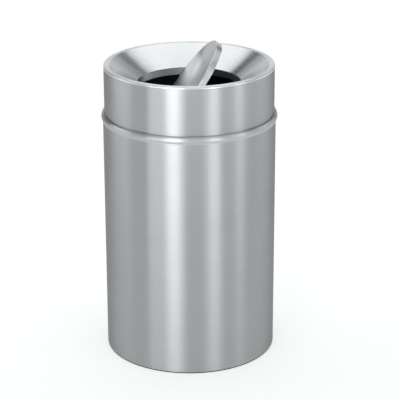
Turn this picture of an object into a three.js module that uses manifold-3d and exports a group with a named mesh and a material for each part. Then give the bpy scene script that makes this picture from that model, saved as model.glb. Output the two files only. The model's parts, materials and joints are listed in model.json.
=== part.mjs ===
// Funnel top waste receptacle: a satin aluminium cylinder with a lift-off head, whose funnel ends in a
// throat that a hollow disc closes. The disc tips about a shaft through its middle and falls shut by the
// weights inside it.
//
// Sizes are in millimetres, +Z is up, and the origin is on the floor at the centre of the base. The disc
// is modelled tipped open, with its +X side up, and its shaft lies along Y.

import * as THREE from 'three';
import { mergeVertices } from 'three/addons/utils/BufferGeometryUtils.js';
import Module from 'manifold-3d';

const wasm = await Module();
wasm.setup();

// ---------------------------------------------------------------- driving dimensions

// Outside of the receptacle.
const BODY_DIAMETER = 508;
const RIM_HEIGHT = 876;
const HEAD_SHOWING = 143; // from the top of the bead to the rim

// Clearances.
const TOUCH = 0.3; // between pieces that touch
const RUNNING_GAP = 0.4; // between the disc and the bushings that centre it
const HEAD_SLIP = 0.9; // round the head, where it slides into the seat ring
const HEAD_REVEAL = 0.6; // the visible joint between the head and the bead
const LINER_SIDE_GAP = 4.2; // round the liner's rim, where it passes the head's flange
const LINER_LOCATING_GAP = 6; // round the liner's foot, in the base pan's recess

// Body shell, seat ring and head shell.
const SHELL_SHEET = 1.6;
const SEAT_SHELF_WIDTH = 9;
const HEAD_INSERTION = 31.5; // how far the head reaches below the top of the bead
const HEAD_FLANGE_WIDTH = 8.6;
const HEAD_FLANGE_BEND = 3;

// Bead that caps the body.
const BEAD_HEIGHT = 23.5;
const BEAD_PROUD = 4.8; // how far the bead stands out from the body
const BEAD_SHEET = 1.2;
const BEAD_SHOULDER = 6.5; // width of the rounded outer part of the crown
const SHELL_EDGE_DROP = 1.2; // the shell ends this far below the seat ring, clear of the shoulder

// Rivets that hold the seat ring, hidden in the hollow of the bead.
const SEAT_RIVETS = 6;
const SEAT_RIVET_DROP = 11.75; // below the top of the bead
const RIVET_SHANK_DIAMETER = 4;
const RIVET_HEAD_DIAMETER = 7.6;
const RIVET_HEAD_HEIGHT = 1.6;

// Base pan and floor ring.
const PAN_SHEET = 1.6;
const PAN_HEIGHT = 20;
const PAN_RECESS_DEPTH = 6;
const PAN_RECESS_SLOPE = 4; // width of the recess's sloping side
const PAN_CORNER_RADIUS = 4;
const FLOOR_RING_HEIGHT = 3;
const FLOOR_RING_WIDTH = 17.4;
const FLOOR_RING_INSET = 0.6;
const FLOOR_RING_UPSTAND = 9;
const FLOOR_RING_UPSTAND_WIDTH = 4.2;

// Liner.
const LINER_WALL = 3;
const LINER_HEADROOM = 24; // below the throat collar
const LINER_TAPER = 11.5; // how much narrower the foot is than the mouth
const LINER_CORNER_RADIUS = 14;
const LINER_KICK_UP = 5;
const LINER_KICK_UP_INSET = 30; // from the liner's side to the raised middle of its underside
const LINER_STEP_DROP = 72; // from the rim down to the nesting step
const LINER_STEP_HEIGHT = 6;
const LINER_STEP_WIDTH = 2.5;
const LINER_ROLL_GAP = 2.3; // between the wall and the rolled rim's turned-down edge
const LINER_ROLL_DEPTH = 12;
const LINER_ROLL_BEND = 1;
const HAND_HOLE_LENGTH = 110;
const HAND_HOLE_HEIGHT = 32;
const HAND_HOLE_DROP = 40; // from the rim to the hole's centre

// Funnel.
const FUNNEL_SHEET = 2;
const LIP_CORNER_RADIUS = 3.5;
const LIP_WIDTH = 14;
const LIP_INNER_RADIUS = 14; // the bend from the lip into the cone
const LIP_STRAIGHT = 2.5; // from the seam with the head shell to the corner's bend
const FUNNEL_HEM_DEPTH = 14; // inside the head shell
const FUNNEL_DEPTH = 55.3;
const THROAT_DIAMETER = 304.8;

// Throat collar.
const COLLAR_SHEET = 2;
const COLLAR_DROP = 21.7; // from the throat's edge to the collar's lower edge
const COLLAR_FLANGE_WIDTH = 23;

// Shaft, bushings and retaining clips.
const PIVOT_DROP = 9.7; // from the throat's edge to the shaft
const SHAFT_DIAMETER = 8;
const SHAFT_END_LENGTH = 3; // past the clip
const SHAFT_CHAMFER = 0.6;
const BUSHING_FLANGE_DIAMETER = 15;
const BUSHING_FLANGE_THICKNESS = 2;
const BUSHING_WALL = 1.2;
const BUSHING_STAND_OUT = 1.2; // past the collar
const CLIP_THICKNESS = 1;
const CLIP_DIAMETER = 12.4;
const CLIP_GROOVE_DEPTH = 0.9;
const CLIP_OPENING = THREE.MathUtils.degToRad(70);

// Disc.
const DISC_TILT = THREE.MathUtils.degToRad(53.9); // as shown, from closed
const DISC_THICKNESS = 19.3;
const DISC_SHEET = 1.2;
const DISC_HEM_WIDTH = 4;
const BACK_FLANGE_HEIGHT = 3.2;
const SADDLE_SHEET = 1.5;
const SADDLE_WIDTH = 24;
const SADDLE_FOOT = 16;
const SADDLE_OFFSET = 70; // from the disc's centre, along the shaft
const WEIGHT_THICKNESS = 5;
const WEIGHT_WIDTH = 30;
const WEIGHT_LENGTH = 170;
const WEIGHT_OFFSET = 45; // from the shaft
const WEIGHT_RIVET_PITCH = 120;
const WEIGHT_RIVET_TAIL_DIAMETER = 6.4;

// Facets.
const ROUND_STEPS = 44; // round a shell
const SMALL_ROUND_STEPS = 14; // round a shaft or a bore
const RIVET_STEPS = 8;
const CLIP_STEPS = 8;
const BEND_FLATNESS = 0.2; // how far a bend's chords may lie inside its arc

// ---------------------------------------------------------------- places worked out from them

const bodyRadius = BODY_DIAMETER / 2;
const bodyInside = bodyRadius - SHELL_SHEET;
const beadTop = RIM_HEIGHT - HEAD_SHOWING;
const seatRingTop = beadTop - BEAD_SHEET - TOUCH;
const bodyTop = seatRingTop - SHELL_EDGE_DROP;
const bodyBottom = FLOOR_RING_HEIGHT + TOUCH;

const seatRadius = bodyInside - TOUCH;
const headRadius = seatRadius - SHELL_SHEET - HEAD_SLIP;
const headBottom = beadTop - HEAD_INSERTION;
const headInside = headRadius - SHELL_SHEET;
const headFlangeInside = headRadius - HEAD_FLANGE_WIDTH;

const throatRadius = THROAT_DIAMETER / 2;
const throatHeight = RIM_HEIGHT - FUNNEL_DEPTH;
const lipInside = headRadius - LIP_WIDTH;
const lipSeam = RIM_HEIGHT - LIP_CORNER_RADIUS - LIP_STRAIGHT;
const coneSlope = Math.atan2(FUNNEL_DEPTH, lipInside - throatRadius);

const collarRadius = throatRadius + TOUCH;
const collarBottom = throatHeight - COLLAR_DROP;
const pivotHeight = throatHeight - PIVOT_DROP;

const shaftRadius = SHAFT_DIAMETER / 2;
const shaftBore = (shaftRadius + TOUCH) / Math.cos(Math.PI / SMALL_ROUND_STEPS);
const bushingRadius = shaftBore + BUSHING_WALL;
const flangeRadius = BUSHING_FLANGE_DIAMETER / 2;
// The collar's facets fall away from its corner at the pivot by this much at the flange's edge.
const flangeFall = flangeRadius * Math.tan(Math.PI / ROUND_STEPS);
const flangeBack = collarRadius - flangeFall - TOUCH;
const flangeFace = flangeBack - BUSHING_FLANGE_THICKNESS;
const bushingEnd = collarRadius + COLLAR_SHEET + BUSHING_STAND_OUT;
const clipStart = bushingEnd + TOUCH;
const shaftEnd = clipStart + CLIP_THICKNESS + SHAFT_END_LENGTH;

const discRadius = flangeFace - RUNNING_GAP;
const discTop = DISC_THICKNESS / 2;
const discBottom = -discTop;
const saddleTop = discTop - DISC_SHEET - TOUCH;
const backPanBottom = discBottom + DISC_SHEET + TOUCH;
const backPanTop = backPanBottom + DISC_SHEET;
const weightBottom = backPanTop + TOUCH;
const weightTop = weightBottom + WEIGHT_THICKNESS;

const linerRimRadius = headFlangeInside - LINER_SIDE_GAP;
const linerMouth = linerRimRadius - LINER_WALL - LINER_ROLL_GAP;
const linerFoot = linerMouth - LINER_TAPER;
const linerTop = collarBottom - LINER_HEADROOM;
const recessRadius = linerFoot + LINER_LOCATING_GAP;
const recessFloor = PAN_HEIGHT - PAN_RECESS_DEPTH;
const linerBottom = recessFloor + TOUCH;

const rivetRadius = RIVET_SHANK_DIAMETER / 2;
const rivetHole = rivetRadius + TOUCH;

// ---------------------------------------------------------------- materials

function metal(color, roughness) {
  return new THREE.MeshStandardMaterial({ color, roughness, metalness: 1 });
}

function plastic(color, roughness) {
  return new THREE.MeshStandardMaterial({ color, roughness, metalness: 0 });
}

const satinAluminium = () => metal(0xc4c8cb, 0.32);
const millAluminium = () => metal(0xb4b7ba, 0.45);
const zincedSteel = () => metal(0xa6a8a8, 0.4);
const blackPlastic = () => plastic(0x1c1d1e, 0.55);
const blackVinyl = () => plastic(0x202122, 0.7);
const naturalNylon = () => plastic(0xe3e0d4, 0.5);

// ---------------------------------------------------------------- sections and solids

// Turns corners, each [x, y] or [x, y, bend radius], into the points of a path.
function bentPath(corners) {
  const points = [];
  corners.forEach(([x, y, bend = 0], i) => {
    const corner = new THREE.Vector2(x, y);
    if (bend === 0) {
      points.push(corner);
      return;
    }
    const back = new THREE.Vector2(...corners[i - 1].slice(0, 2)).sub(corner).normalize();
    const ahead = new THREE.Vector2(...corners[i + 1].slice(0, 2)).sub(corner).normalize();
    const halfAngle = Math.acos(back.dot(ahead)) / 2;
    const turn = (Math.PI - 2 * halfAngle) * Math.sign(ahead.cross(back));
    const inward = back.clone().add(ahead).normalize();
    const centre = corner.clone().addScaledVector(inward, bend / Math.sin(halfAngle));
    const start = corner.clone().addScaledVector(back, bend / Math.tan(halfAngle));
    const steps = Math.ceil(Math.abs(turn) / (2 * Math.acos(1 - BEND_FLATNESS / bend)));
    for (let step = 0; step <= steps; step += 1) {
      points.push(start.clone().rotateAround(centre, (turn * step) / steps));
    }
  });
  return points.filter((point, i) => i === 0 || point.distanceTo(points[i - 1]) > TOUCH / 100);
}

function leftOf(from, to) {
  const along = to.clone().sub(from).normalize();
  return new THREE.Vector2(-along.y, along.x);
}

// The outline of a sheet. The path follows one face, and the sheet lies on the path's left.
function sheetSection(path, thickness) {
  const otherFace = path.map((point, i) => {
    const before = i > 0 ? leftOf(path[i - 1], point) : leftOf(point, path[i + 1]);
    const after = i < path.length - 1 ? leftOf(point, path[i + 1]) : before;
    const middle = before.clone().add(after).normalize();
    return point.clone().addScaledVector(middle, thickness / middle.dot(before));
  });
  return [...path, ...otherFace.reverse()];
}

// A section turned about Y. Its points run anticlockwise, with x as the radius.
function turnAboutY(section, steps) {
  const isRing = section[0].x > 0;
  const points = isRing ? [...section, section[0].clone()] : section;
  return new THREE.LatheGeometry(points, steps);
}

function turnAboutZ(section, steps = ROUND_STEPS) {
  return turnAboutY(section, steps).rotateX(Math.PI / 2);
}

function spunSheet(corners, thickness) {
  return turnAboutZ(sheetSection(bentPath(corners), thickness));
}

// A flat outline in x and z, extruded along Y about a centre.
function extrudeAlongY(outline, length, centreY) {
  const settings = { depth: length, bevelEnabled: false, curveSegments: CLIP_STEPS };
  const geometry = new THREE.ExtrudeGeometry(outline, settings);
  return geometry.rotateX(Math.PI / 2).translate(0, centreY + length / 2, 0);
}

function toSolid(geometry) {
  const bare = geometry.clone();
  bare.deleteAttribute('normal');
  bare.deleteAttribute('uv');
  const merged = mergeVertices(bare, 1e-3);
  const vertProperties = merged.getAttribute('position').array;
  const triVerts = new Uint32Array(merged.index.array);
  return new wasm.Manifold(new wasm.Mesh({ numProp: 3, vertProperties, triVerts }));
}

function cutFrom(geometry, cutters) {
  let solid = toSolid(geometry);
  for (const cutter of cutters) {
    solid = solid.subtract(toSolid(cutter));
  }
  const { vertProperties, triVerts } = solid.getMesh();
  const result = new THREE.BufferGeometry();
  result.setAttribute('position', new THREE.BufferAttribute(vertProperties, 3));
  result.setIndex(new THREE.BufferAttribute(triVerts, 1));
  return result;
}

function piece(name, geometry, material) {
  geometry.computeVertexNormals();
  const mesh = new THREE.Mesh(geometry, material);
  mesh.name = name;
  return mesh;
}

// ---------------------------------------------------------------- body

const seatRivetAngles = Array.from({ length: SEAT_RIVETS }, (_, i) => (i * 2 * Math.PI) / SEAT_RIVETS);
const seatRivetHeight = beadTop - SEAT_RIVET_DROP;

// One cylinder per seat rivet, long enough to pass through the shell and the seat ring.
function seatRivetHoles() {
  const length = 4 * SHELL_SHEET + 2 * RIVET_HEAD_HEIGHT;
  return seatRivetAngles.map((angle) => {
    const hole = new THREE.CylinderGeometry(rivetHole, rivetHole, length, RIVET_STEPS);
    return hole.rotateZ(Math.PI / 2).translate(bodyInside, 0, seatRivetHeight).rotateZ(angle);
  });
}

function bodyShell() {
  const wall = spunSheet([[bodyRadius, bodyBottom], [bodyRadius, bodyTop]], SHELL_SHEET);
  return piece('body_shell', cutFrom(wall, seatRivetHoles()), satinAluminium());
}

function topBead() {
  const skirt = bodyRadius + TOUCH + BEAD_SHEET;
  const belly = bodyRadius + BEAD_PROUD;
  const bottom = beadTop - BEAD_HEIGHT;
  const middle = beadTop - BEAD_HEIGHT / 2;
  const quarter = BEAD_HEIGHT / 4;
  const crown = belly - BEAD_SHOULDER;
  const innerEdge = headRadius + HEAD_REVEAL;
  const lower = new THREE.CubicBezierCurve(
    new THREE.Vector2(skirt, bottom),
    new THREE.Vector2(skirt, bottom + quarter),
    new THREE.Vector2(belly, middle - quarter),
    new THREE.Vector2(belly, middle),
  );
  const upper = new THREE.CubicBezierCurve(
    new THREE.Vector2(belly, middle),
    new THREE.Vector2(belly, middle + quarter),
    new THREE.Vector2((belly + crown) / 2, beadTop),
    new THREE.Vector2(crown, beadTop),
  );
  const path = [...lower.getPoints(3), ...upper.getPoints(4).slice(1), new THREE.Vector2(innerEdge, beadTop)];
  return piece('top_bead', turnAboutZ(sheetSection(path, BEAD_SHEET)), satinAluminium());
}

function headSeatRing() {
  const shelfBottom = headBottom - TOUCH - SHELL_SHEET;
  const corners = [
    [seatRadius - SEAT_SHELF_WIDTH, shelfBottom],
    [seatRadius, shelfBottom],
    [seatRadius, seatRingTop],
  ];
  return piece('head_seat_ring', cutFrom(spunSheet(corners, SHELL_SHEET), seatRivetHoles()), millAluminium());
}

function seatRingRivets() {
  const flushEnd = seatRadius - SHELL_SHEET;
  const headStart = bodyRadius + TOUCH;
  const headRim = RIVET_HEAD_DIAMETER / 2;
  const profile = [
    [0, flushEnd],
    [rivetRadius, flushEnd],
    [rivetRadius, headStart],
    [headRim, headStart],
    [headRim - RIVET_HEAD_HEIGHT / 2, headStart + RIVET_HEAD_HEIGHT],
    [0, headStart + RIVET_HEAD_HEIGHT],
  ];
  return seatRivetAngles.map((angle, i) => {
    const turned = turnAboutY(profile.map(([r, y]) => new THREE.Vector2(r, y)), RIVET_STEPS);
    const rivet = piece(`seat_ring_rivet_${i + 1}`, turned.rotateZ(-Math.PI / 2), millAluminium());
    rivet.position.z = seatRivetHeight;
    rivet.rotation.z = angle;
    return rivet;
  });
}

function basePan() {
  const skirt = bodyInside - TOUCH;
  const corners = [
    [skirt, bodyBottom],
    [skirt, PAN_HEIGHT, PAN_CORNER_RADIUS],
    [recessRadius + PAN_RECESS_SLOPE, PAN_HEIGHT],
    [recessRadius, recessFloor],
    [0, recessFloor],
  ];
  return piece('base_pan', spunSheet(corners, PAN_SHEET), millAluminium());
}

function floorRing() {
  const outside = bodyRadius - FLOOR_RING_INSET;
  const inside = outside - FLOOR_RING_WIDTH;
  const upstandOutside = bodyInside - TOUCH - PAN_SHEET - TOUCH;
  const upstandInside = upstandOutside - FLOOR_RING_UPSTAND_WIDTH;
  const upstandTop = FLOOR_RING_HEIGHT + FLOOR_RING_UPSTAND;
  const section = [
    [inside, 0],
    [outside, 0],
    [outside, FLOOR_RING_HEIGHT],
    [upstandOutside, FLOOR_RING_HEIGHT],
    [upstandOutside, upstandTop],
    [upstandInside, upstandTop],
    [upstandInside, FLOOR_RING_HEIGHT],
    [inside, FLOOR_RING_HEIGHT],
  ];
  return piece('floor_ring', turnAboutZ(section.map(([r, z]) => new THREE.Vector2(r, z))), blackVinyl());
}

function body() {
  const group = new THREE.Group();
  group.add(bodyShell(), topBead(), headSeatRing(), ...seatRingRivets(), basePan(), floorRing());
  return group;
}

// ---------------------------------------------------------------- liner

function handHoles() {
  const round = HAND_HOLE_HEIGHT / 2;
  const straight = HAND_HOLE_LENGTH / 2 - round;
  const outline = new THREE.Shape();
  outline.absarc(straight, 0, round, -Math.PI / 2, Math.PI / 2, false);
  outline.absarc(-straight, 0, round, Math.PI / 2, (3 * Math.PI) / 2, false);
  const length = 2 * linerRimRadius;
  const bar = new THREE.ExtrudeGeometry(outline, { depth: length, bevelEnabled: false, curveSegments: 6 });
  // The outline's length turns onto Y, its height onto Z, and the bar onto X.
  bar.rotateZ(Math.PI / 2).rotateY(Math.PI / 2).translate(-length / 2, 0, linerTop - HAND_HOLE_DROP);
  return bar;
}

function liner() {
  const rollInside = linerRimRadius - LINER_WALL;
  const rollBottomFace = linerTop - LINER_WALL;
  const stepTop = linerTop - LINER_STEP_DROP;
  const kickUpRadius = linerFoot - LINER_KICK_UP_INSET;
  const corners = [
    [0, linerBottom + LINER_KICK_UP],
    [kickUpRadius - LINER_KICK_UP, linerBottom + LINER_KICK_UP],
    [kickUpRadius, linerBottom],
    [linerFoot, linerBottom, LINER_CORNER_RADIUS],
    [linerMouth - LINER_STEP_WIDTH, stepTop - LINER_STEP_HEIGHT],
    [linerMouth, stepTop],
    [linerMouth, rollBottomFace, LINER_ROLL_BEND],
    [rollInside, rollBottomFace, LINER_ROLL_BEND],
    [rollInside, rollBottomFace - LINER_ROLL_DEPTH],
  ];
  return piece('liner', cutFrom(spunSheet(corners, LINER_WALL), [handHoles()]), blackPlastic());
}

// ---------------------------------------------------------------- head

function headShell() {
  const corners = [
    [headFlangeInside, headBottom],
    [headRadius, headBottom, HEAD_FLANGE_BEND],
    [headRadius, lipSeam - TOUCH],
  ];
  return piece('head_shell', spunSheet(corners, SHELL_SHEET), satinAluminium());
}

// Lip, cone and the stepped hem that backs the seam with the head shell, spun from one blank.
function funnel() {
  const hem = headInside - TOUCH;
  const corners = [
    [hem, lipSeam - FUNNEL_HEM_DEPTH],
    [hem, lipSeam],
    [headRadius, lipSeam],
    [headRadius, RIM_HEIGHT, LIP_CORNER_RADIUS],
    [lipInside, RIM_HEIGHT, LIP_INNER_RADIUS],
    [throatRadius, throatHeight],
  ];
  return piece('funnel', spunSheet(corners, FUNNEL_SHEET), satinAluminium());
}

// Its flange lies under the cone, and its wall carries the two bushings.
function throatCollar() {
  const flangeTopAt = (radius) =>
    throatHeight + (radius - throatRadius) * Math.tan(coneSlope) - (FUNNEL_SHEET + TOUCH) / Math.cos(coneSlope);
  const flangeEdge = collarRadius + COLLAR_FLANGE_WIDTH;
  const corners = [
    [flangeEdge, flangeTopAt(flangeEdge)],
    [collarRadius, flangeTopAt(collarRadius)],
    [collarRadius, collarBottom],
  ];
  const hole = bushingRadius + TOUCH;
  const bore = new THREE.CylinderGeometry(hole, hole, 2 * bushingEnd, SMALL_ROUND_STEPS);
  bore.translate(0, 0, pivotHeight);
  return piece('throat_collar', cutFrom(spunSheet(corners, COLLAR_SHEET), [bore]), satinAluminium());
}

function bushing(name, turn) {
  const section = [
    [shaftBore, flangeFace],
    [flangeRadius, flangeFace],
    [flangeRadius, flangeBack],
    [bushingRadius, flangeBack],
    [bushingRadius, bushingEnd],
    [shaftBore, bushingEnd],
  ];
  const turned = turnAboutY(section.map(([r, y]) => new THREE.Vector2(r, y)), SMALL_ROUND_STEPS);
  const mesh = piece(name, turned, naturalNylon());
  mesh.position.z = pivotHeight;
  mesh.rotation.z = turn;
  return mesh;
}

function head() {
  const group = new THREE.Group();
  group.add(headShell(), funnel(), throatCollar(), bushing('front_bushing', Math.PI), bushing('rear_bushing', 0));
  return group;
}

// ---------------------------------------------------------------- disc, flat about its own centre

// The face turns down into the rim wall, whose hem closes under the back pan.
function discFacePan() {
  const corners = [
    [discRadius - DISC_HEM_WIDTH, discBottom],
    [discRadius, discBottom],
    [discRadius, discTop],
    [0, discTop],
  ];
  const hole = shaftRadius + TOUCH;
  const bore = new THREE.CylinderGeometry(hole, hole, 2 * shaftEnd, SMALL_ROUND_STEPS);
  return piece('disc_face_pan', cutFrom(spunSheet(corners, DISC_SHEET), [bore]), satinAluminium());
}

function discBackPan() {
  const edge = discRadius - DISC_SHEET - TOUCH;
  const corners = [
    [0, backPanBottom],
    [edge, backPanBottom],
    [edge, backPanBottom + BACK_FLANGE_HEIGHT],
  ];
  return piece('disc_back_pan', cutFrom(spunSheet(corners, DISC_SHEET), weightRivetHoles()), satinAluminium());
}

function pivotShaft() {
  const groove = shaftRadius - CLIP_GROOVE_DEPTH;
  const grooveStart = clipStart - TOUCH;
  const grooveEnd = clipStart + CLIP_THICKNESS + TOUCH;
  const rearHalf = [
    [shaftRadius, grooveStart],
    [groove, grooveStart],
    [groove, grooveEnd],
    [shaftRadius, grooveEnd],
    [shaftRadius, shaftEnd - SHAFT_CHAMFER],
    [shaftRadius - SHAFT_CHAMFER, shaftEnd],
    [0, shaftEnd],
  ];
  const frontHalf = rearHalf.map(([r, y]) => [r, -y]).reverse();
  const profile = [...frontHalf, ...rearHalf].map(([r, y]) => new THREE.Vector2(r, y));
  return piece('pivot_shaft', turnAboutY(profile, SMALL_ROUND_STEPS), zincedSteel());
}

// A strap that holds the shaft up against the underside of the face.
function saddle(name, centreY) {
  const side = shaftRadius + TOUCH;
  const corners = [
    [side + SADDLE_FOOT, saddleTop],
    [side, saddleTop],
    [side, -side, side],
    [-side, -side, side],
    [-side, saddleTop],
    [-side - SADDLE_FOOT, saddleTop],
  ];
  const outline = new THREE.Shape(sheetSection(bentPath(corners), SADDLE_SHEET));
  return piece(name, extrudeAlongY(outline, SADDLE_WIDTH, centreY), zincedSteel());
}

const weightRivetPlaces = [-1, 1].flatMap((side) =>
  [-1, 1].map((end) => [side * WEIGHT_OFFSET, (end * WEIGHT_RIVET_PITCH) / 2]),
);

function weightRivetHoles() {
  return weightRivetPlaces.map(([x, y]) => {
    const hole = new THREE.CylinderGeometry(rivetHole, rivetHole, DISC_THICKNESS, RIVET_STEPS);
    return hole.rotateX(Math.PI / 2).translate(x, y, weightBottom);
  });
}

function counterweight(name, centreX) {
  const round = WEIGHT_WIDTH / 2;
  const straight = WEIGHT_LENGTH / 2 - round;
  const outline = new THREE.Shape();
  outline.absarc(centreX, straight, round, 0, Math.PI, false);
  outline.absarc(centreX, -straight, round, Math.PI, 2 * Math.PI, false);
  const bar = new THREE.ExtrudeGeometry(outline, { depth: WEIGHT_THICKNESS, bevelEnabled: false, curveSegments: 8 });
  bar.translate(0, 0, weightBottom);
  return piece(name, cutFrom(bar, weightRivetHoles()), zincedSteel());
}

// Their domed heads show under the back pan, and their tails close over the weights.
function counterweightRivets() {
  const headRim = RIVET_HEAD_DIAMETER / 2;
  const tailRim = WEIGHT_RIVET_TAIL_DIAMETER / 2;
  const headTop = backPanBottom - TOUCH;
  const tailStart = weightTop + TOUCH;
  const profile = [
    [0, headTop - RIVET_HEAD_HEIGHT],
    [headRim - RIVET_HEAD_HEIGHT / 2, headTop - RIVET_HEAD_HEIGHT],
    [headRim, headTop],
    [rivetRadius, headTop],
    [rivetRadius, tailStart],
    [tailRim, tailStart],
    [tailRim, tailStart + RIVET_HEAD_HEIGHT],
    [0, tailStart + RIVET_HEAD_HEIGHT],
  ];
  return weightRivetPlaces.map(([x, y], i) => {
    const turned = turnAboutZ(profile.map(([r, z]) => new THREE.Vector2(r, z)), RIVET_STEPS);
    const rivet = piece(`counterweight_rivet_${i + 1}`, turned, millAluminium());
    rivet.position.set(x, y, 0);
    return rivet;
  });
}

// An open ring that snaps into the shaft's groove from one side.
function retainingClip(name, centreY) {
  const inside = shaftRadius - CLIP_GROOVE_DEPTH + TOUCH;
  const outline = new THREE.Shape();
  outline.absarc(0, 0, CLIP_DIAMETER / 2, CLIP_OPENING / 2, 2 * Math.PI - CLIP_OPENING / 2, false);
  outline.absarc(0, 0, inside, 2 * Math.PI - CLIP_OPENING / 2, CLIP_OPENING / 2, true);
  return piece(name, extrudeAlongY(outline, CLIP_THICKNESS, centreY), zincedSteel());
}

function disc() {
  const clipCentre = clipStart + CLIP_THICKNESS / 2;
  const group = new THREE.Group();
  group.add(
    discFacePan(),
    discBackPan(),
    pivotShaft(),
    saddle('front_saddle', -SADDLE_OFFSET),
    saddle('rear_saddle', SADDLE_OFFSET),
    counterweight('left_counterweight', -WEIGHT_OFFSET),
    counterweight('right_counterweight', WEIGHT_OFFSET),
    ...counterweightRivets(),
    retainingClip('front_retaining_clip', -clipCentre),
    retainingClip('rear_retaining_clip', clipCentre),
  );
  group.position.z = pivotHeight;
  group.rotation.y = -DISC_TILT;
  return group;
}

// ---------------------------------------------------------------- the receptacle

const receptacle = new THREE.Group();
receptacle.name = 'tip_action_receptacle';
receptacle.add(body(), liner(), head(), disc());

export default receptacle;
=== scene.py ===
"""The looks of the funnel top waste receptacle: satin aluminium shells spun smooth round the CAD frame.

Lengths are in metres and angles in radians unless a name says otherwise. Azimuths are taken about the
receptacle's axis, from the photograph's side (-Y) towards +X.
"""

import json
import math

import bmesh
import bpy
from mathutils import Matrix, Vector


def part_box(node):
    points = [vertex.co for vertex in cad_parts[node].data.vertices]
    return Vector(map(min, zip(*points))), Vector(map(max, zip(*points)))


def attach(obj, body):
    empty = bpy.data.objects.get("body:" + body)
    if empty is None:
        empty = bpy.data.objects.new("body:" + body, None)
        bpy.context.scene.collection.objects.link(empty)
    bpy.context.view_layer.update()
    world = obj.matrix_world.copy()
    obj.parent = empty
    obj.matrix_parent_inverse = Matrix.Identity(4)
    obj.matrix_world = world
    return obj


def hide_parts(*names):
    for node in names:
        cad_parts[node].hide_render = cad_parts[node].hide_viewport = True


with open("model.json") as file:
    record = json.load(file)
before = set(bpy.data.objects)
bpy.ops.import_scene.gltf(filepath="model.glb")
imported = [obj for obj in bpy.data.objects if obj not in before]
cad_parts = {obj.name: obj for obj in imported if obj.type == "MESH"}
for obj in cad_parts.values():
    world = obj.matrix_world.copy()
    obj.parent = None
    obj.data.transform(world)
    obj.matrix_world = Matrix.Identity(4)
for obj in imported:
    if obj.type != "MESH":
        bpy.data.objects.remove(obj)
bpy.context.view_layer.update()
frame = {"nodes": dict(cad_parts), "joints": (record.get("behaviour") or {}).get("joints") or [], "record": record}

MM = 0.001


# ---------------------------------------------------------------- the photograph's camera

CAMERA_PLACE = (-0.2196, -4.6044, 2.1693)
CAMERA_FOCAL_PIXELS = 1640.9
PHOTO_PIXELS = 400
SENSOR_MM = 36
CAMERA_DOWN = math.radians(20.44)
CAMERA_AZIMUTH = math.radians(3.11)
CAMERA_ROLL = math.radians(0.154)


def add_camera():
    """Looks level along +Y first, then turns down, about Z and about its own axis."""
    data = bpy.data.cameras.new("photograph_camera")
    data.sensor_width = SENSOR_MM
    data.lens = CAMERA_FOCAL_PIXELS / PHOTO_PIXELS * SENSOR_MM
    camera = bpy.data.objects.new("photograph_camera", data)
    level = Matrix.Rotation(math.pi / 2 - CAMERA_DOWN, 4, "X")
    turn = Matrix.Rotation(-CAMERA_AZIMUTH, 4, "Z")
    roll = Matrix.Rotation(-CAMERA_ROLL, 4, "Z")
    camera.matrix_world = Matrix.Translation(CAMERA_PLACE) @ turn @ level @ roll
    bpy.context.scene.collection.objects.link(camera)
    bpy.context.scene.camera = camera


# ---------------------------------------------------------------- outlines of sheet metal

BEND_STEP = math.radians(7.5)
SHARP_TURN = math.radians(24)
ROUND_STEPS = 192
SMALL_ROUND_STEPS = 48
CUT_EDGE_RADIUS = 0.3 * MM
ON_AXIS = 1e-9
SAME_PLACE = 1e-6


def arc_at(before, corner, after, radius):
    """Points of the arc that rounds a corner."""
    back = (before - corner).normalized()
    ahead = (after - corner).normalized()
    half = back.angle(ahead) / 2
    start = corner + back * (radius / math.tan(half))
    centre = corner + (back + ahead).normalized() * (radius / math.sin(half))
    turn = math.copysign(math.pi - 2 * half, back.x * ahead.y - back.y * ahead.x)
    steps = max(2, math.ceil(abs(turn) / BEND_STEP))
    arm = start - centre
    return [centre + Matrix.Rotation(-turn * i / steps, 2) @ arm for i in range(steps + 1)]


def bent_path(corners):
    """Corners (radius, height) or (radius, height, bend radius) as the points of a path."""
    places = [Vector(corner[:2]) for corner in corners]
    points = []
    for i, corner in enumerate(corners):
        if len(corner) == 2:
            points.append(places[i])
        else:
            points += arc_at(places[i - 1], places[i], places[i + 1], corner[2])
    return [
        point for i, point in enumerate(points)
        if i == 0 or (point - points[i - 1]).length > SAME_PLACE
    ]


def left_of(start, end):
    along = (end - start).normalized()
    return Vector((-along.y, along.x))


def sheet_outline(path, thickness):
    """The closed outline of a sheet that lies on the path's left."""
    other_face = []
    last = len(path) - 1
    for i, point in enumerate(path):
        before = left_of(path[i - 1], point) if i > 0 else left_of(point, path[i + 1])
        after = left_of(point, path[i + 1]) if i < last else before
        middle = (before + after).normalized()
        other_face.append(point + middle * (thickness / middle.dot(before)))
    return path + other_face[::-1]


def soften(outline, radius=CUT_EDGE_RADIUS):
    """Rounds the sharp corners of a closed outline, except those on the axis."""
    softened = []
    count = len(outline)
    for i, point in enumerate(outline):
        before = outline[i - 1]
        after = outline[(i + 1) % count]
        turn = math.pi - (before - point).angle(after - point)
        room = min((before - point).length, (after - point).length) / 2
        reach = radius * math.tan(turn / 2)
        if point.x < ON_AXIS or turn < SHARP_TURN or reach > room:
            softened.append(point)
        else:
            softened += arc_at(before, point, after, radius)
    return softened


# ---------------------------------------------------------------- spun pieces

def object_from(mesh, name):
    """Makes an object of a bmesh, and frees the bmesh."""
    data = bpy.data.meshes.new(name)
    mesh.to_mesh(data)
    mesh.free()
    made = bpy.data.objects.new(name, data)
    bpy.context.scene.collection.objects.link(made)
    return made


def lengths_along(outline):
    """How far each point lies along the outline, and last the whole way round."""
    lengths = [0.0]
    for start, end in zip(outline, outline[1:] + outline[:1]):
        lengths.append(lengths[-1] + (end - start).length)
    return lengths


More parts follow.
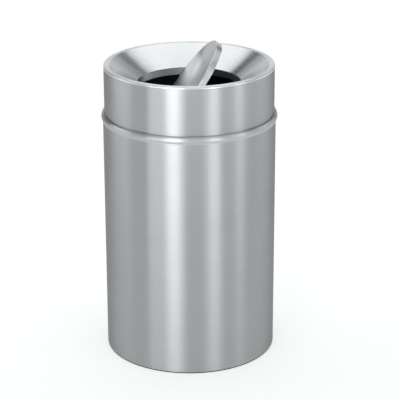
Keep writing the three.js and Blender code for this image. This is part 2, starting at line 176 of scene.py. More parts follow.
def add_rings(mesh, outline, lengths, steps):
    """A ring of vertices for each point of the outline, or one vertex where the point is on the axis."""
    turn_layer = mesh.verts.layers.float_vector.new("turn")
    rings = []
    for point, length in zip(outline, lengths):
        ring = []
        for step in range(steps if point.x > ON_AXIS else 1):
            angle = 2 * math.pi * step / steps
            vertex = mesh.verts.new((point.x * math.cos(angle), point.x * math.sin(angle), point.y))
            vertex[turn_layer] = (math.cos(angle), math.sin(angle), length)
            ring.append(vertex)
        rings.append(ring)
    return rings


def add_band(mesh, ring, following, u_start, u_end, steps):
    """The faces between two rings, with the grain's coordinates along and round the turn."""
    uv_layer = mesh.loops.layers.uv["grain"]
    for step in range(steps):
        v_start = step / steps
        v_end = (step + 1) / steps
        corners = [
            (ring[step % len(ring)], u_start, v_start),
            (ring[(step + 1) % len(ring)], u_start, v_end),
            (following[(step + 1) % len(following)], u_end, v_end),
            (following[step % len(following)], u_end, v_start),
        ]
        used = [corner for j, corner in enumerate(corners) if corner[0] is not corners[j - 1][0]]
        if len({corner[0] for corner in used}) < 3:
            continue
        face = mesh.faces.new([corner[0] for corner in used])
        face.smooth = True
        for loop, (_, u, v) in zip(face.loops, used):
            loop[uv_layer].uv = (u, v)


def spin(name, outline, steps=ROUND_STEPS):
    """Turns a closed outline about Z. Each point keeps where it is round the turn and along the outline."""
    closes_on_axis = outline[0].x < ON_AXIS and outline[-1].x < ON_AXIS
    lengths = lengths_along(outline)
    mesh = bmesh.new()
    mesh.loops.layers.uv.new("grain")
    rings = add_rings(mesh, outline, lengths, steps)
    spans = len(outline) - 1 if closes_on_axis else len(outline)
    for i in range(spans):
        add_band(mesh, rings[i], rings[(i + 1) % len(outline)], lengths[i], lengths[i + 1], steps)
    bmesh.ops.recalc_face_normals(mesh, faces=mesh.faces)
    piece = object_from(mesh, name)
    piece.data.set_sharp_from_angle(angle=SHARP_TURN)
    return piece


def cut(piece, cutters):
    """Takes the cutters' shapes out of the piece, and removes the cutters."""
    for cutter in cutters:
        modifier = piece.modifiers.new("cut", "BOOLEAN")
        modifier.operation = "DIFFERENCE"
        modifier.solver = "EXACT"
        modifier.object = cutter
        bpy.context.view_layer.update()
        evaluated = piece.evaluated_get(bpy.context.evaluated_depsgraph_get())
        result = bpy.data.meshes.new_from_object(evaluated)
        piece.modifiers.clear()
        piece.data = result
    for cutter in cutters:
        bpy.data.objects.remove(cutter)
    piece.data.set_sharp_from_angle(angle=SHARP_TURN)


def rod(name, radius, start, end, steps=SMALL_ROUND_STEPS):
    """A plain rod along Y, from start to end, to cut with."""
    outline = [Vector((0, start)), Vector((radius, start)), Vector((radius, end)), Vector((0, end))]
    piece = spin(name, outline, steps)
    piece.data.transform(Z_TO_Y)
    return piece


def dress(piece, body, node, material):
    """Puts a finished piece in the place of its CAD node."""
    piece.data.materials.clear()
    piece.data.materials.append(material)
    for polygon in piece.data.polygons:
        polygon.material_index = 0
    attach(piece, body)
    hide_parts(node)


Z_TO_Y = Matrix.Rotation(-math.pi / 2, 4, "X")


# ---------------------------------------------------------------- sizes, from the frame

def top_of(node):
    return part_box(node)[1].z


def bottom_of(node):
    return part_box(node)[0].z


def radius_of(node):
    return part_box(node)[1].x


TOUCH = 0.3 * MM
SHELL_SHEET = 1.6 * MM
BEAD_SHEET = 1.2 * MM
BEAD_SHOULDER = 6.5 * MM
BEAD_INNER_EDGE = 0.6 * MM
BEAD_LOWER_STEPS = 14
BEAD_UPPER_STEPS = 18
HEAD_FLANGE_WIDTH = 8.6 * MM
HEAD_FLANGE_BEND = 3 * MM
SEAT_SHELF_WIDTH = 9 * MM
FUNNEL_SHEET = 2 * MM
FUNNEL_HEM_DEPTH = 14 * MM
LIP_WIDTH = 16 * MM
LIP_CORNER_RADIUS = 3.5 * MM
LIP_INNER_RADIUS = 4 * MM
FUNNEL_DEPTH = 55.3 * MM
THROAT_RADIUS = 152.4 * MM
COLLAR_SHEET = 2 * MM
COLLAR_FLANGE_WIDTH = 23 * MM
BORE_REACH = 1.1
PAN_SHEET = 1.6 * MM
PAN_RECESS_DEPTH = 6 * MM
PAN_RECESS_SLOPE = 4 * MM
PAN_CORNER_RADIUS = 4 * MM
LINER_LOCATING_GAP = 6 * MM
FLOOR_RING_HEIGHT = 3 * MM
FLOOR_RING_WIDTH = 17.4 * MM
FLOOR_RING_UPSTAND_WIDTH = 4.2 * MM
FLOOR_RING_EDGE = 0.8 * MM
LINER_WALL = 3 * MM
LINER_TAPER = 11.5 * MM
LINER_CORNER_RADIUS = 14 * MM
LINER_KICK_UP = 5 * MM
LINER_KICK_UP_INSET = 30 * MM
LINER_STEP_DROP = 72 * MM
LINER_STEP_HEIGHT = 6 * MM
LINER_STEP_WIDTH = 2.5 * MM
LINER_ROLL_GAP = 2.3 * MM
LINER_ROLL_DEPTH = 12 * MM
LINER_ROLL_BEND_SHARE = 0.49
LINER_EDGE_RADIUS = 0.8 * MM
HAND_HOLE_LENGTH = 110 * MM
HAND_HOLE_HEIGHT = 32 * MM
HAND_HOLE_DROP = 40 * MM
HAND_HOLE_END_STEPS = 24
DISC_TILT = math.radians(53.9)
DISC_THICKNESS = 19.3 * MM
DISC_SHEET = 1.2 * MM
DISC_HEM_WIDTH = 4 * MM
DISC_EDGE_RADIUS = 1.4 * MM
BACK_FLANGE_HEIGHT = 3.2 * MM
BACK_FLANGE_BEND = 1.4 * MM
SHAFT_RADIUS = 4 * MM
SHAFT_CHAMFER = 0.6 * MM
SHAFT_EDGE_RADIUS = 0.15 * MM
CLIP_GROOVE_DEPTH = 0.9 * MM
CLIP_GROOVE_WIDTH = 1.6 * MM
CLIP_GROOVE_START = 155.9 * MM
BUSHING_BORE = 4.3 * MM
BUSHING_WALL = 1.2 * MM
BUSHING_FLANGE_THICKNESS = 2 * MM
BUSHING_EDGE_RADIUS = 0.4 * MM

pivot = Vector(next(joint for joint in frame["joints"] if joint["name"] == "disc_tip")["pos_m"])
disc_place = Matrix.Translation(pivot) @ Matrix.Rotation(-DISC_TILT, 4, "Y")


# ---------------------------------------------------------------- materials

class Finish:
    """A node material with short ways to add and join its nodes."""

    def __init__(self, name):
        self.material = bpy.data.materials.new(name)
        self.material.use_nodes = True
        self.tree = self.material.node_tree
        self.tree.nodes.clear()
        self.shader = self.add("ShaderNodeBsdfPrincipled")
        output = self.add("ShaderNodeOutputMaterial")
        self.join(self.shader.outputs["BSDF"], output.inputs["Surface"])

    def add(self, kind, **settings):
        node = self.tree.nodes.new(kind)
        for key, value in settings.items():
            setattr(node, key, value)
        return node

    def join(self, output, socket):
        self.tree.links.new(output, socket)

    def set(self, **values):
        """Sets sockets of the shader by name, with _ for each space."""
        for key, value in values.items():
            self.shader.inputs[key.replace("_", " ")].default_value = value

    def scaled(self, vector, scale):
        node = self.add("ShaderNodeVectorMath", operation="MULTIPLY")
        node.inputs[1].default_value = scale
        self.join(vector, node.inputs[0])
        return node.outputs["Vector"]

    def noise(self, vector, detail=2.0, roughness=0.5):
        """Noise in cells one unit wide."""
        node = self.add("ShaderNodeTexNoise")
        node.inputs["Scale"].default_value = 1.0
        node.inputs["Detail"].default_value = detail
        node.inputs["Roughness"].default_value = roughness
        self.join(vector, node.inputs["Vector"])
        return node.outputs["Fac"]

    def spread(self, value, low, high, centre=0.5, reach=0.25):
        """Maps noise about its centre to a range."""
        node = self.add("ShaderNodeMapRange")
        node.inputs["From Min"].default_value = centre - reach
        node.inputs["From Max"].default_value = centre + reach
        node.inputs["To Min"].default_value = low
        node.inputs["To Max"].default_value = high
        self.join(value, node.inputs["Value"])
        return node.outputs["Result"]

    def sum(self, first, second):
        node = self.add("ShaderNodeMath", operation="ADD")
        self.join(first, node.inputs[0])
        self.join(second, node.inputs[1])
        return node.outputs[0]

    def shade(self, value, dark, light):
        """Mixes two colours by a value from 0 to 1."""
        node = self.add("ShaderNodeMix", data_type="RGBA")
        node.inputs[6].default_value = (*dark, 1)
        node.inputs[7].default_value = (*light, 1)
        self.join(value, node.inputs[0])
        return node.outputs[2]

    def bump(self, height, distance, strength=1.0):
        node = self.add("ShaderNodeBump")
        node.inputs["Strength"].default_value = strength
        node.inputs["Distance"].default_value = distance
        self.join(height, node.inputs["Height"])
        self.join(node.outputs["Normal"], self.shader.inputs["Normal"])

    def grain_tangent(self):
        """Lays the shader's tangent across the grain, along the outline."""
        node = self.add("ShaderNodeTangent", direction_type="UV_MAP", uv_map="grain")
        self.join(node.outputs["Tangent"], self.shader.inputs["Tangent"])

    def paint(self, colour):
        self.join(colour, self.shader.inputs["Base Color"])

    def dull(self, roughness):
        self.join(roughness, self.shader.inputs["Roughness"])


def tinted(tone, share):
    return tuple(channel * share for channel in tone)


def object_places(finish):
    return finish.add("ShaderNodeTexCoord").outputs["Object"]


GRAIN_PITCH = 0.35 * MM
GRAIN_ARCS = 5.0
GRAIN_DEPTH = 0.004 * MM
GRAIN_BUMP = 0.5
GRAIN_UNEVEN = 0.02
BAND_PITCH = 9 * MM
BAND_ARCS = 1.2
PATCH_LENGTH = 110 * MM
PATCH_ARCS = 2.2
PATCH_UNEVEN = 0.012
BRUSHED_DARK = 0.95
BRUSHED_LIGHT = 1.04
FACE_EDGE = 0.6 * MM
# Painted light: how much lighter the level rim face's colour is made.
FACE_PAINTED_LIGHT = 0.06
FACE_DULLER = 0.12


def duller_face_with_painted_light(finish, colour, uneven, height):
    """Makes the level face at a height duller, and paints its colour lighter as painted light on the up-facing
    face.
    """
    split = finish.add("ShaderNodeSeparateXYZ")
    finish.join(object_places(finish), split.inputs["Vector"])
    z = split.outputs["Z"]
    middle = height - FACE_EDGE / 2
    # Painted light: the level face's colour is made lighter, standing in for the light it catches from above.
    lighter = finish.spread(z, 0, FACE_PAINTED_LIGHT, middle, FACE_EDGE / 2)
    duller = finish.spread(z, 0, FACE_DULLER, middle, FACE_EDGE / 2)
    added = finish.add("ShaderNodeVectorMath", operation="ADD")
    finish.join(colour, added.inputs[0])
    finish.join(lighter, added.inputs[1])
    return added.outputs["Vector"], finish.sum(uneven, duller)


def brushed_aluminium(name, tone, roughness, edge_tint=0.9, directed=1.0, flat_face=None):
    """Satin aluminium whose fine grain runs round the turn.

    directed is how far the grain steers the light. flat_face is the height of a level face that is brushed
    duller than the rest and carries painted light: its colour is painted lighter.
    """
    finish = Finish(name)
    turn = finish.add("ShaderNodeAttribute", attribute_name="turn").outputs["Vector"]
    fine = finish.noise(finish.scaled(turn, (GRAIN_ARCS, GRAIN_ARCS, 1 / GRAIN_PITCH)), detail=3)
    bands = finish.noise(finish.scaled(turn, (BAND_ARCS, BAND_ARCS, 1 / BAND_PITCH)))
    patches = finish.noise(finish.scaled(turn, (PATCH_ARCS, PATCH_ARCS, 1 / PATCH_LENGTH)))
    mixed = finish.sum(finish.spread(fine, -0.5, 0.5), finish.spread(bands, 0.3, 0.7))
    colour = finish.shade(mixed, tinted(tone, BRUSHED_DARK), tinted(tone, BRUSHED_LIGHT))
    uneven = finish.sum(
        finish.spread(fine, roughness - GRAIN_UNEVEN, roughness + GRAIN_UNEVEN),
        finish.spread(patches, -PATCH_UNEVEN, PATCH_UNEVEN),
    )
    if flat_face is not None:
        colour, uneven = duller_face_with_painted_light(finish, colour, uneven, flat_face)
    finish.paint(colour)
    finish.dull(uneven)
    finish.set(Metallic=1.0, Anisotropic=directed, Specular_Tint=(edge_tint, edge_tint, edge_tint, 1))
    finish.grain_tangent()
    finish.bump(fine, GRAIN_DEPTH, GRAIN_BUMP)
    return finish.material


MILL_STREAKS_PER_METRE = (60, 900, 900)
MILL_CLOUDS_PER_METRE = (25, 25, 25)
MILL_DEPTH = 0.02 * MM


def mill_aluminium(name, tone):
    """As it left the rolling mill: dull, with faint streaks along the sheet."""
    finish = Finish(name)
    place = object_places(finish)
    streaks = finish.noise(finish.scaled(place, MILL_STREAKS_PER_METRE), detail=4)
    clouds = finish.noise(finish.scaled(place, MILL_CLOUDS_PER_METRE))
    finish.paint(finish.shade(finish.spread(streaks, 0, 1), tinted(tone, 0.86), tinted(tone, 1.05)))
    finish.dull(finish.sum(finish.spread(streaks, 0.38, 0.5), finish.spread(clouds, -0.04, 0.04)))
    finish.set(Metallic=1.0, Anisotropic=0.4)
    finish.bump(streaks, MILL_DEPTH, 0.3)
    return finish.material


ZINC_CRYSTALS_PER_METRE = 700
ZINC_CLOUDS_PER_METRE = (150, 150, 150)
ZINC_DEPTH = 0.03 * MM


def zinced_steel(name, tone):
    """Bright zinc plate, a little blue, with small pale crystals."""
    finish = Finish(name)
    place = object_places(finish)
    crystals = finish.add("ShaderNodeTexVoronoi")
    crystals.inputs["Scale"].default_value = ZINC_CRYSTALS_PER_METRE
    finish.join(place, crystals.inputs["Vector"])
    clouds = finish.noise(finish.scaled(place, ZINC_CLOUDS_PER_METRE), detail=3)
    finish.paint(finish.shade(crystals.outputs["Distance"], tinted(tone, 1.08), tinted(tone, 0.85)))
    finish.dull(finish.spread(clouds, 0.26, 0.42))
    finish.set(Metallic=1.0)
    finish.bump(clouds, ZINC_DEPTH, 0.25)
    return finish.material


PLASTIC_PATCHES_PER_METRE = (14, 14, 9)
PLASTIC_BUMP = 0.6


def moulded_plastic(name, tone, roughness, speck, depth):
    """Moulded plastic: a fine texture, with broad softer and shinier patches."""
    finish = Finish(name)
    place = object_places(finish)
    texture = finish.noise(finish.scaled(place, (1 / speck, 1 / speck, 1 / speck)), detail=3)
    patches = finish.noise(finish.scaled(place, PLASTIC_PATCHES_PER_METRE), detail=3)
    finish.paint(finish.shade(finish.spread(patches, 0, 1), tinted(tone, 0.85), tinted(tone, 1.25)))
    finish.dull(finish.sum(
        finish.spread(texture, roughness - 0.05, roughness + 0.05),
        finish.spread(patches, -0.06, 0.06),
    ))
    finish.bump(texture, depth, PLASTIC_BUMP)
    return finish.material


tone_of = {material["slot"]: material["base_color"][:3] for material in frame["record"]["materials"]}
# Painted light: the bead, spun funnel and disc get lighter tones than their own, standing in for the light they
# catch.
bead_tone_painted_lighter = tinted(tone_of["satin_bead"], 1.1)
spun_tone_painted_lighter = tinted(tone_of["satin_spun"], 1.35)
disc_tone_painted_lighter = tinted(tone_of["satin_disc"], 1.5)

satin_shell = brushed_aluminium("satin_shell", tone_of["satin_shell"], 0.36, edge_tint=0.5)
satin_bead = brushed_aluminium("satin_bead", bead_tone_painted_lighter, 0.36, edge_tint=0.7, directed=0.92)
satin_spun = brushed_aluminium(
    "satin_spun", spun_tone_painted_lighter, 0.27, edge_tint=1.0, directed=0.9, flat_face=top_of("funnel"),
)
satin_collar = brushed_aluminium("satin_collar", tone_of["satin_collar"], 0.38)
satin_disc = brushed_aluminium("satin_disc", disc_tone_painted_lighter, 0.32, edge_tint=1.0, directed=0.85)
mill_finish = mill_aluminium("mill_aluminium", tone_of["mill_aluminium"])
zinc_plate = zinced_steel("zinced_steel", tone_of["zinced_steel"])
natural_nylon = moulded_plastic("nylon", tone_of["nylon"], 0.45, 0.6 * MM, 0.01 * MM)
liner_plastic = moulded_plastic("black_liner", tone_of["black_liner"], 0.48, 0.9 * MM, 0.03 * MM)
floor_vinyl = moulded_plastic("black_vinyl", tone_of["black_vinyl"], 0.62, 1.4 * MM, 0.04 * MM)


# ---------------------------------------------------------------- body

def add_body_shell():
    radius = radius_of("body_shell")
    path = [Vector((radius, bottom_of("body_shell"))), Vector((radius, top_of("body_shell")))]
    shell = spin("smooth_body_shell", soften(sheet_outline(path, SHELL_SHEET)))
    dress(shell, "body", "body_shell", satin_shell)


def curve(start, lean_from, lean_to, end, steps):
    """Points of a cubic curve."""
    points = []
    for i in range(steps + 1):
        t = i / steps
        s = 1 - t
        points.append(start * s**3 + lean_from * 3 * s * s * t + lean_to * 3 * s * t * t + end * t**3)
    return points


def add_top_bead():
    bottom, top, belly = bottom_of("top_bead"), top_of("top_bead"), radius_of("top_bead")
    middle = (bottom + top) / 2
    quarter = (top - bottom) / 4
    skirt = radius_of("body_shell") + TOUCH + BEAD_SHEET
    crown = belly - BEAD_SHOULDER
    inner_edge = radius_of("head_shell") + BEAD_INNER_EDGE
    lower = curve(
        Vector((skirt, bottom)), Vector((skirt, bottom + quarter)),
        Vector((belly, middle - quarter)), Vector((belly, middle)), BEAD_LOWER_STEPS,
    )
    upper = curve(
        Vector((belly, middle)), Vector((belly, middle + quarter)),
        Vector(((belly + crown) / 2, top)), Vector((crown, top)), BEAD_UPPER_STEPS,
    )
    path = lower + upper[1:] + [Vector((inner_edge, top))]
    bead = spin("smooth_top_bead", soften(sheet_outline(path, BEAD_SHEET)))
    dress(bead, "body", "top_bead", satin_bead)


def add_head_seat_ring():
    radius, bottom = radius_of("head_seat_ring"), bottom_of("head_seat_ring")
    corners = [
        (radius - SEAT_SHELF_WIDTH, bottom),
        (radius, bottom),
        (radius, top_of("head_seat_ring")),
    ]
    ring = spin("smooth_head_seat_ring", soften(sheet_outline(bent_path(corners), SHELL_SHEET)))
    dress(ring, "body", "head_seat_ring", mill_finish)


def add_base_pan():
    radius, top = radius_of("base_pan"), top_of("base_pan")
    recess_floor = top - PAN_RECESS_DEPTH
    recess = liner_foot + LINER_LOCATING_GAP
    corners = [
        (radius, bottom_of("base_pan")),
        (radius, top, PAN_CORNER_RADIUS),
        (recess + PAN_RECESS_SLOPE, top),
        (recess, recess_floor),
        (0, recess_floor),
    ]
    pan = spin("smooth_base_pan", soften(sheet_outline(bent_path(corners), PAN_SHEET)))
    dress(pan, "body", "base_pan", mill_finish)


def add_floor_ring():
    outside, top = radius_of("floor_ring"), top_of("floor_ring")
    inside = outside - FLOOR_RING_WIDTH
    upstand_outside = radius_of("body_shell") - SHELL_SHEET - TOUCH - PAN_SHEET - TOUCH
    upstand_inside = upstand_outside - FLOOR_RING_UPSTAND_WIDTH
    outline = [
        Vector((inside, 0)),
        Vector((outside, 0)),
        Vector((outside, FLOOR_RING_HEIGHT)),
        Vector((upstand_outside, FLOOR_RING_HEIGHT)),
        Vector((upstand_outside, top)),
        Vector((upstand_inside, top)),
        Vector((upstand_inside, FLOOR_RING_HEIGHT)),
        Vector((inside, FLOOR_RING_HEIGHT)),
    ]
    ring = spin("smooth_floor_ring", soften(outline, FLOOR_RING_EDGE))
    dress(ring, "body", "floor_ring", floor_vinyl)


# ---------------------------------------------------------------- liner

liner_rim = radius_of("liner")
liner_mouth = liner_rim - LINER_WALL - LINER_ROLL_GAP
liner_foot = liner_mouth - LINER_TAPER


def hand_hole_cutter():
    """A bar with round ends that passes through both sides of the liner."""
    straight = (HAND_HOLE_LENGTH - HAND_HOLE_HEIGHT) / 2
    height = top_of("liner") - HAND_HOLE_DROP
    mesh = bmesh.new()
    section = []
    for side in (1, -1):
        for step in range(HAND_HOLE_END_STEPS + 1):
            angle = math.radians(-90 + 180 / HAND_HOLE_END_STEPS * step) + (0 if side > 0 else math.pi)
            y = side * straight + HAND_HOLE_HEIGHT / 2 * math.cos(angle)
            z = height + HAND_HOLE_HEIGHT / 2 * math.sin(angle)
            section.append(mesh.verts.new((-2 * liner_rim, y, z)))
    start = mesh.faces.new(section)
    grown = bmesh.ops.extrude_face_region(mesh, geom=[start])
    moved = [part for part in grown["geom"] if isinstance(part, bmesh.types.BMVert)]
    bmesh.ops.translate(mesh, verts=moved, vec=(4 * liner_rim, 0, 0))
    bmesh.ops.recalc_face_normals(mesh, faces=mesh.faces)
    return object_from(mesh, "hand_hole_cutter")


def add_liner():
    bottom, top = bottom_of("liner"), top_of("liner")
    roll_inside = liner_rim - LINER_WALL
    roll_face = top - LINER_WALL
    step_top = top - LINER_STEP_DROP
    kick_up = liner_foot - LINER_KICK_UP_INSET
    roll_bend = LINER_ROLL_BEND_SHARE * LINER_ROLL_GAP
    corners = [
        (0, bottom + LINER_KICK_UP),
        (kick_up - LINER_KICK_UP, bottom + LINER_KICK_UP),
        (kick_up, bottom),
        (liner_foot, bottom, LINER_CORNER_RADIUS),
        (liner_mouth - LINER_STEP_WIDTH, step_top - LINER_STEP_HEIGHT),
        (liner_mouth, step_top),
        (liner_mouth, roll_face, roll_bend),
        (roll_inside, roll_face, roll_bend),
        (roll_inside, roll_face - LINER_ROLL_DEPTH),
    ]
    outline = sheet_outline(bent_path(corners), LINER_WALL)
    liner = spin("smooth_liner", soften(outline, LINER_EDGE_RADIUS))
    cut(liner, [hand_hole_cutter()])
    dress(liner, "liner", "liner", liner_plastic)


# ---------------------------------------------------------------- head

rim_height = top_of("funnel")
head_radius = radius_of("head_shell")
throat_height = rim_height - FUNNEL_DEPTH
lip_inside = head_radius - LIP_WIDTH
lip_seam = top_of("head_shell") + TOUCH
cone_slope = math.atan2(FUNNEL_DEPTH, lip_inside - THROAT_RADIUS)


def add_head_shell():
    bottom = bottom_of("head_shell")
    corners = [
        (head_radius - HEAD_FLANGE_WIDTH, bottom),
        (head_radius, bottom, HEAD_FLANGE_BEND),
        (head_radius, top_of("head_shell")),
    ]
    shell = spin("smooth_head_shell", soften(sheet_outline(bent_path(corners), SHELL_SHEET)))
    dress(shell, "head", "head_shell", satin_shell)


def add_funnel():
    hem = head_radius - SHELL_SHEET - TOUCH
    corners = [
        (hem, lip_seam - FUNNEL_HEM_DEPTH),
        (hem, lip_seam),
        (head_radius, lip_seam),
        (head_radius, rim_height, LIP_CORNER_RADIUS),
        (lip_inside, rim_height, LIP_INNER_RADIUS),
        (THROAT_RADIUS, throat_height),
    ]
    funnel = spin("smooth_funnel", soften(sheet_outline(bent_path(corners), FUNNEL_SHEET)))
    dress(funnel, "head", "funnel", satin_spun)


def add_throat_collar():
    radius = THROAT_RADIUS + TOUCH
    flange_edge = radius + COLLAR_FLANGE_WIDTH
    under_cone = throat_height - (FUNNEL_SHEET + TOUCH) / math.cos(cone_slope)

    def flange_height(at):
        return under_cone + (at - THROAT_RADIUS) * math.tan(cone_slope)

    corners = [
        (flange_edge, flange_height(flange_edge)),
        (radius, flange_height(radius)),
        (radius, bottom_of("throat_collar")),
    ]
    collar = spin("smooth_throat_collar", soften(sheet_outline(bent_path(corners), COLLAR_SHEET)))
    bore = rod("bore", BUSHING_BORE + BUSHING_WALL + TOUCH, -radius * BORE_REACH, radius * BORE_REACH)
    bore.data.transform(Matrix.Translation((0, 0, pivot.z)))
    cut(collar, [bore])
    dress(collar, "head", "throat_collar", satin_collar)


def add_bushing(node, side):
    """side is 1 at the rear and -1 at the front."""
    low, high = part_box(node)
    flange_radius = (high.z - low.z) / 2
    reach = sorted((abs(low.y), abs(high.y)))
    flange_back = reach[0] + BUSHING_FLANGE_THICKNESS
    barrel = BUSHING_BORE + BUSHING_WALL
    outline = [
        Vector((BUSHING_BORE, reach[0])),
        Vector((flange_radius, reach[0])),
        Vector((flange_radius, flange_back)),
        Vector((barrel, flange_back)),
        Vector((barrel, reach[1])),
        Vector((BUSHING_BORE, reach[1])),
    ]
    bushing = spin("smooth_" + node, soften(outline, BUSHING_EDGE_RADIUS), SMALL_ROUND_STEPS)
    turned = Matrix.Rotation(0 if side > 0 else math.pi, 4, "Z")
    bushing.data.transform(Matrix.Translation(pivot) @ turned @ Z_TO_Y)
    dress(bushing, "head", node, natural_nylon)


# ---------------------------------------------------------------- disc, built flat and then placed

disc_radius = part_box("disc_face_pan")[1].y
disc_top = DISC_THICKNESS / 2
back_pan_bottom = -disc_top + DISC_SHEET + TOUCH


def add_disc_face_pan():
    corners = [
        (disc_radius - DISC_HEM_WIDTH, -disc_top),
        (disc_radius, -disc_top, DISC_EDGE_RADIUS),
        (disc_radius, disc_top, DISC_EDGE_RADIUS),
        (0, disc_top),
    ]
    pan = spin("smooth_disc_face_pan", soften(sheet_outline(bent_path(corners), DISC_SHEET)))
    reach = disc_radius * BORE_REACH
    cut(pan, [rod("bore", SHAFT_RADIUS + TOUCH, -reach, reach)])
    pan.data.transform(disc_place)
    dress(pan, "disc", "disc_face_pan", satin_disc)


def add_disc_back_pan():
    edge = disc_radius - DISC_SHEET - TOUCH
    corners = [
        (0, back_pan_bottom),
        (edge, back_pan_bottom, BACK_FLANGE_BEND),
        (edge, back_pan_bottom + BACK_FLANGE_HEIGHT),
    ]
    pan = spin("smooth_disc_back_pan", soften(sheet_outline(bent_path(corners), DISC_SHEET)))
    pan.data.transform(disc_place)
    dress(pan, "disc", "disc_back_pan", satin_disc)


def add_pivot_shaft():
    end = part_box("pivot_shaft")[1].y
    groove = SHAFT_RADIUS - CLIP_GROOVE_DEPTH
    half = [
        Vector((SHAFT_RADIUS, CLIP_GROOVE_START)),
        Vector((groove, CLIP_GROOVE_START)),
        Vector((groove, CLIP_GROOVE_START + CLIP_GROOVE_WIDTH)),
        Vector((SHAFT_RADIUS, CLIP_GROOVE_START + CLIP_GROOVE_WIDTH)),
        Vector((SHAFT_RADIUS, end - SHAFT_CHAMFER)),
        Vector((SHAFT_RADIUS - SHAFT_CHAMFER, end)),
        Vector((0, end)),
    ]
    mirrored = [Vector((point.x, -point.y)) for point in reversed(half)]
    shaft = spin("smooth_pivot_shaft", soften(mirrored + half, SHAFT_EDGE_RADIUS), SMALL_ROUND_STEPS)
    shaft.data.transform(disc_place @ Z_TO_Y)
    dress(shaft, "disc", "pivot_shaft", zinc_plate)


# ---------------------------------------------------------------- CAD nodes that stay

def finish_small_nodes():
    """The pressed, snapped and riveted pieces keep their CAD meshes."""
    finishes = {
        "seat_ring_rivet": mill_finish,
        "counterweight_rivet": mill_finish,
        "saddle": zinc_plate,
        "counterweight": zinc_plate,
        "retaining_clip": zinc_plate,
    }
    for name, node in frame["nodes"].items():
        if node.hide_render:
            continue
        material = next(finish for key, finish in finishes.items() if key in name)
        node.data.materials.clear()
        node.data.materials.append(material)


# ---------------------------------------------------------------- studio

FLOOR_HALF = 30
FLOOR_TONE = 0.8
FLOOR_GLOW = 0.55
FAR_GLOW = 0.95
GLOW_RISES_FROM = 0.8
GLOW_RISES_TO = 9.0
LAMP_DISTANCE = 3.0
CAMERA_SIDE = math.atan2(CAMERA_PLACE[0], -CAMERA_PLACE[1])
GRID_SPREAD = math.radians(75)
DAYLIGHT = (0.95, 0.98, 1.0)
COOL = (0.9, 0.96, 1.0)
TALL = (0.0, 2.4)
HIGH = (1.1, 2.8)
CEILING_HEIGHT = 3.2
BACKDROP_HEIGHT = 2.8
WORLD_GLOW = 0.12


def plane(name, half_width, half_length):
    mesh = bmesh.new()
    corners = [(-1, -1), (1, -1), (1, 1), (-1, 1)]
    mesh.faces.new([mesh.verts.new((half_width * x, half_length * y, 0)) for x, y in corners])
    return object_from(mesh, name)


def add_floor():
    floor = plane("studio_floor", FLOOR_HALF, FLOOR_HALF)
    floor.data.materials.append(floor_material())


def floor_material():
    """Pale paper. To the camera and to mirror rays its light is made up to white, less the shadow.

    The glow rises away from the middle, where the lamps no longer reach.
    """
    finish = Finish("studio_floor")
    finish.set(Base_Color=(FLOOR_TONE, FLOOR_TONE, FLOOR_TONE, 1), Roughness=0.9)
    finish.shader.inputs["Specular IOR Level"].default_value = 0
    rays = finish.add("ShaderNodeLightPath")
    seen = finish.sum(rays.outputs["Is Camera Ray"], rays.outputs["Is Glossy Ray"])
    seen = finish.sum(seen, rays.outputs["Is Transmission Ray"])
    away = finish.add("ShaderNodeVectorMath", operation="LENGTH")
    finish.join(object_places(finish), away.inputs[0])
    middle = (GLOW_RISES_FROM + GLOW_RISES_TO) / 2
    reach = (GLOW_RISES_TO - GLOW_RISES_FROM) / 2
    made_up = finish.spread(away.outputs["Value"], FLOOR_GLOW, FAR_GLOW, middle, reach)
    glow = finish.add("ShaderNodeMath", operation="MULTIPLY")
    finish.join(seen, glow.inputs[0])
    finish.join(made_up, glow.inputs[1])
    finish.shader.inputs["Emission Color"].default_value = (1, 1, 1, 1)
    finish.join(glow.outputs[0], finish.shader.inputs["Emission Strength"])
    return finish.material


def add_world(strength):
    world = bpy.data.worlds.new("studio")
    world.use_nodes = True
    background = world.node_tree.nodes["Background"]
    background.inputs["Color"].default_value = (1, 1, 1, 1)
    background.inputs["Strength"].default_value = strength
    bpy.context.scene.world = world


def lamp(name, width, height, level, tint):
    """A soft box that nothing but its own light gives away. White paper has a level of 1."""
    data = bpy.data.lights.new(name, "AREA")
    data.shape = "RECTANGLE"
    data.size = width
    data.size_y = height
    data.energy = level * math.pi * width * height
    data.color = tint
    made = bpy.data.objects.new(name, data)
    made.visible_camera = False
    bpy.context.scene.collection.objects.link(made)
    return made


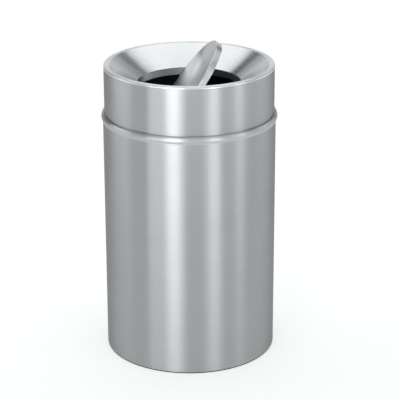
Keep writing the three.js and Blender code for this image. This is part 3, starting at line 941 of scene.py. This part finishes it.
def upright_box(name, start, end, span, level, tint=DAYLIGHT):
    """Spans two azimuths in degrees from the camera's side. Its grid holds back what goes wide."""
    bottom, top = span
    width = 2 * LAMP_DISTANCE * math.tan(math.radians(end - start) / 2)
    made = lamp(name, width, top - bottom, level, tint)
    made.data.spread = GRID_SPREAD
    angle = math.radians(start + end) / 2 + CAMERA_SIDE
    turn = Matrix.Rotation(angle, 4, "Z") @ Matrix.Rotation(math.pi / 2, 4, "X")
    across = LAMP_DISTANCE * math.sin(angle)
    ahead = -LAMP_DISTANCE * math.cos(angle)
    made.matrix_world = Matrix.Translation((across, ahead, (bottom + top) / 2)) @ turn


def ceiling_box(name, width, length, ahead, height, level):
    """Lies level above the floor and shines down."""
    made = lamp(name, width, length, level, DAYLIGHT)
    made.location = (0, ahead, height)


def add_lights():
    """Tall upright boxes draw the stripes down the shells. High ones and the ceiling lift the rest."""
    upright_box("left_wall", -120, -80, HIGH, 0.48)
    upright_box("left_panel", -80, -58, HIGH, 0.18)
    upright_box("key_edge", -54, -36, TALL, 0.27)
    upright_box("key_wide", -36, -6, TALL, 0.34)
    upright_box("key_middle", -30, -11, TALL, 0.28)
    upright_box("key_core", -26, -14, TALL, 0.14)
    upright_box("front_panel", -10, 20, HIGH, 0.44, COOL)
    upright_box("second_wide", 18, 42, TALL, 0.22)
    upright_box("second_core", 24, 37, TALL, 0.24)
    upright_box("right_panel", 42, 92, HIGH, 0.43)
    upright_box("right_strip", 60, 73, TALL, 0.13)
    upright_box("right_wall", 92, 140, HIGH, 0.33, COOL)
    upright_box("back_wall", 150, 210, HIGH, 0.14)
    ceiling_box("front_ceiling", 3.6, 1.8, -0.9, CEILING_HEIGHT, 0.8)
    ceiling_box("middle_ceiling", 3.6, 1.2, 0.6, CEILING_HEIGHT, 1.34)
    ceiling_box("back_ceiling", 3.6, 1.2, 1.8, CEILING_HEIGHT, 1.45)
    ceiling_box("backdrop_box", 4.0, 4.0, 5.0, BACKDROP_HEIGHT, 0.42)


# ---------------------------------------------------------------- the scene

add_camera()
add_body_shell()
add_top_bead()
add_head_seat_ring()
add_base_pan()
add_floor_ring()
add_liner()
add_head_shell()
add_funnel()
add_throat_collar()
add_bushing("front_bushing", -1)
add_bushing("rear_bushing", 1)
add_disc_face_pan()
add_disc_back_pan()
add_pivot_shaft()
finish_small_nodes()
add_floor()
add_world(WORLD_GLOW)
add_lights()
bpy.context.scene.view_settings.view_transform = "Standard"
